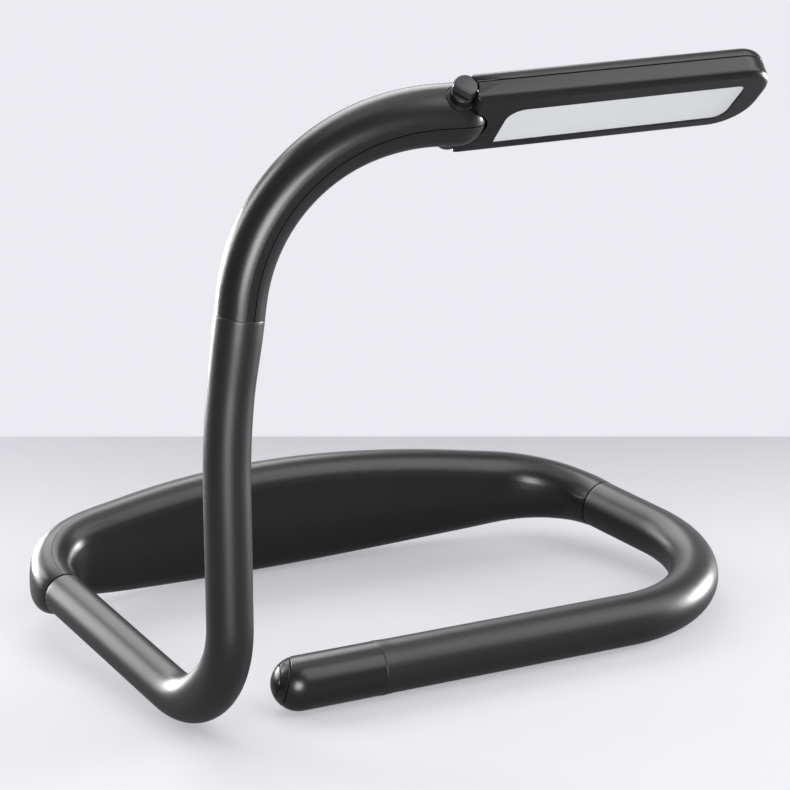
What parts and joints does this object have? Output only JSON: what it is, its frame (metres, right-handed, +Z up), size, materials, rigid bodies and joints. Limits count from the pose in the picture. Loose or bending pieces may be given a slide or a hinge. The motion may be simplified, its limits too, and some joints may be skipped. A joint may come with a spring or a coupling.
{
  "type": "neck reading light",
  "caption": "Neck-worn reading light: moulded neck band, two silicone goosenecks, a rigid curved arm, a flat hinged lamp head and a push switch in an end cap.",
  "frame": {"origin": "middle of the bounding box, on the surface that the light lies on", "axes": "+Z up, +Y towards the back of the neck band, +X towards the far end of the lamp head"},
  "size_m": [0.1771, 0.1395, 0.1566],
  "materials": {
    "soft_touch": "soft-touch satin",
    "silicone": "matte silicone",
    "gloss_black": "semi-gloss moulded",
    "hinge_grey": "fine satin",
    "diffuser": "frosted",
    "clear_plastic": "frosted clear",
    "wire_core": "moulded round cord",
    "steel": "plated",
    "cell_pouch": "foil pouch",
    "foam": "open foam",
    "green_board": "solder mask",
    "white_board": "white solder mask",
    "phosphor": "resin",
    "lead": "insulation",
    "switch_case": "moulded"
  },
  "bodies": {
    "neck_band": {"inner_cover": "soft_touch", "outer_cover": "soft_touch", "battery_cell": "cell_pouch", "battery_pad": "foam", "charge_board": "green_board", "board_screws": "steel", "charging_socket": "steel", "charge_light_lens": "clear_plastic", "left_ferrule": "steel", "right_ferrule": "steel", "left_band_lead": "lead", "right_band_lead": "lead", "left_root_skin": "silicone", "left_root_core": "wire_core", "right_root_skin": "silicone", "right_root_core": "wire_core"},
    "left_rail": {"left_rail_skin": "silicone", "left_rail_core": "wire_core", "left_bend_skin": "silicone", "left_bend_core": "wire_core"},
    "upright": {"upright_skin": "silicone", "upright_core": "wire_core", "upright_flex_skin": "silicone", "upright_flex_core": "wire_core"},
    "arm": {"upright_top_skin": "silicone", "upright_top_core": "wire_core", "arm_ferrule": "steel", "arm_shell": "gloss_black", "arm_inner_cover": "gloss_black", "arm_lead": "lead", "friction_washers": "hinge_grey"},
    "head": {"head_yoke": "hinge_grey", "hinge_pin": "steel", "head_base": "gloss_black", "head_top_cover": "gloss_black", "led_board": "white_board", "leds": "phosphor", "diffuser": "diffuser"},
    "right_rail": {"right_rail_skin": "silicone", "right_rail_core": "wire_core", "right_bend_skin": "silicone", "right_bend_core": "wire_core"},
    "front_rail": {"front_rail_skin": "silicone", "front_rail_core": "wire_core", "end_ferrule": "steel", "end_sleeve": "gloss_black", "button_bezel": "gloss_black", "tact_switch": "switch_case", "switch_board": "green_board", "cap_lead": "lead"},
    "button": {"power_button": "gloss_black"}
  },
  "joints": [
    {"name": "left_rail_swing", "type": "hinge", "parent": "neck_band", "child": "left_rail", "pos_m": [-0.08103, 0.02713, 0.01196], "axis": [0, -0.0995, 0.995], "range_deg": [-25, 5], "deforming": ["left_root_skin", "left_root_core"]},
    {"name": "upright_pitch", "type": "hinge", "parent": "left_rail", "child": "upright", "pos_m": [-0.07033, -0.03755, 0.01185], "axis": [1, 0, 0], "range_deg": [-35, 35], "deforming": ["left_bend_skin", "left_bend_core"]},
    {"name": "arm_sway", "type": "hinge", "parent": "upright", "child": "arm", "pos_m": [-0.06747, -0.04346, 0.07639], "axis": [0, 1, 0], "range_deg": [-40, 35], "deforming": ["upright_flex_skin", "upright_flex_core"]},
    {"name": "head_tilt", "type": "hinge", "parent": "arm", "child": "head", "pos_m": [-0.01508, -0.05067, 0.14442], "axis": [0.1314, 0.7215, -0.6799], "range_deg": [-60, 60]},
    {"name": "right_rail_swing", "type": "hinge", "parent": "neck_band", "child": "right_rail", "pos_m": [0.07763, 0.02823, 0.01234], "axis": [0, -0.0995, 0.995], "range_deg": [-8, 25], "deforming": ["right_root_skin", "right_root_core"]},
    {"name": "front_rail_fold", "type": "hinge", "parent": "right_rail", "child": "front_rail", "pos_m": [0.07444, -0.01529, 0.00801], "axis": [0, -0.0995, 0.995], "range_deg": [-15, 45], "deforming": ["right_bend_skin", "right_bend_core"]},
    {"name": "power_button_press", "type": "slide", "parent": "front_rail", "child": "button", "axis": [0.9999, 0.0113, 0], "range_m": [0, 0.0004], "stiffness_N_per_m": 500, "springref_m": -0.0006}
  ]
}
